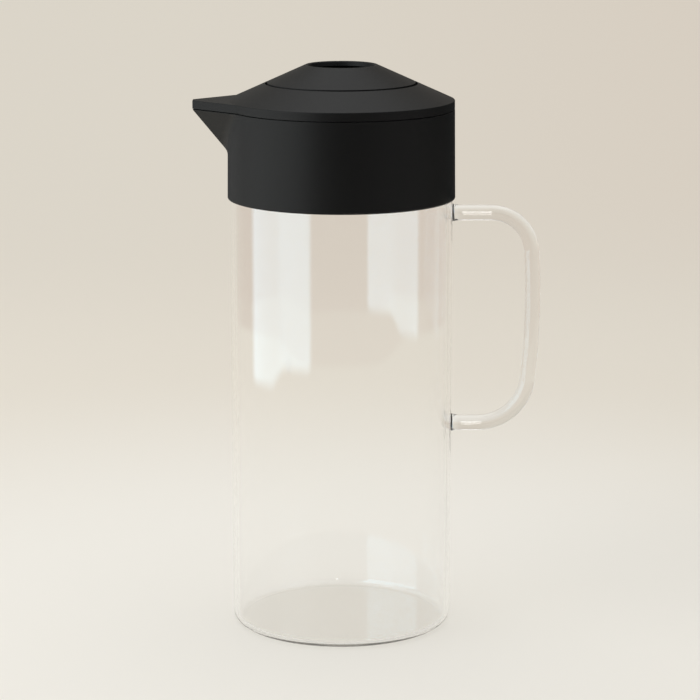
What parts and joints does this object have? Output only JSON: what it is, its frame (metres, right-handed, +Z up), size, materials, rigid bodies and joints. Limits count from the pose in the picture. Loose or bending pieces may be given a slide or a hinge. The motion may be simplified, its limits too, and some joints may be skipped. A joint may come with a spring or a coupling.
{
  "type": "serving jug",
  "caption": "Tall straight glass jug with a fused rod handle and a conical lid whose turning cap opens a pointed beak.",
  "frame": {"origin": "centre of the glass base, on the surface the jug stands on", "axes": "+Z up along the glass tube; -X along the beak and +X along the handle, so +Y is across the handle"},
  "size_m": [0.1566, 0.1022, 0.2563],
  "materials": {
    "clear_glass": "clear polished glass",
    "black_plastic": "fine satin moulded plastic",
    "silicone": "matt silicone"
  },
  "bodies": {
    "jug": {"glass_body": "clear_glass", "glass_handle": "clear_glass"},
    "seal": {"lid_seal": "silicone"},
    "lid": {"lid_collar": "black_plastic"},
    "cap": {"lid_cap": "black_plastic", "gate_drum": "black_plastic", "drum_ring": "silicone"},
    "plug": {"plug_cover": "black_plastic", "plug_cup": "black_plastic", "plug_ring": "silicone"}
  },
  "joints": [
    {"name": "lid_lift", "type": "slide", "parent": "jug", "child": "seal", "axis": [0, 0, 1], "range_m": [0, 0.06]},
    {"name": "lid_turn", "type": "hinge", "parent": "seal", "child": "lid", "pos_m": [0, 0, 0.205], "axis": [0, 0, 1], "continuous": true},
    {"name": "cap_turn", "type": "hinge", "parent": "lid", "child": "cap", "pos_m": [0, 0, 0.237], "axis": [0, 0, 1], "range_deg": [-90, 90]},
    {"name": "plug_lift", "type": "slide", "parent": "cap", "child": "plug", "axis": [0, 0, 1], "range_m": [0, 0.03]}
  ]
}
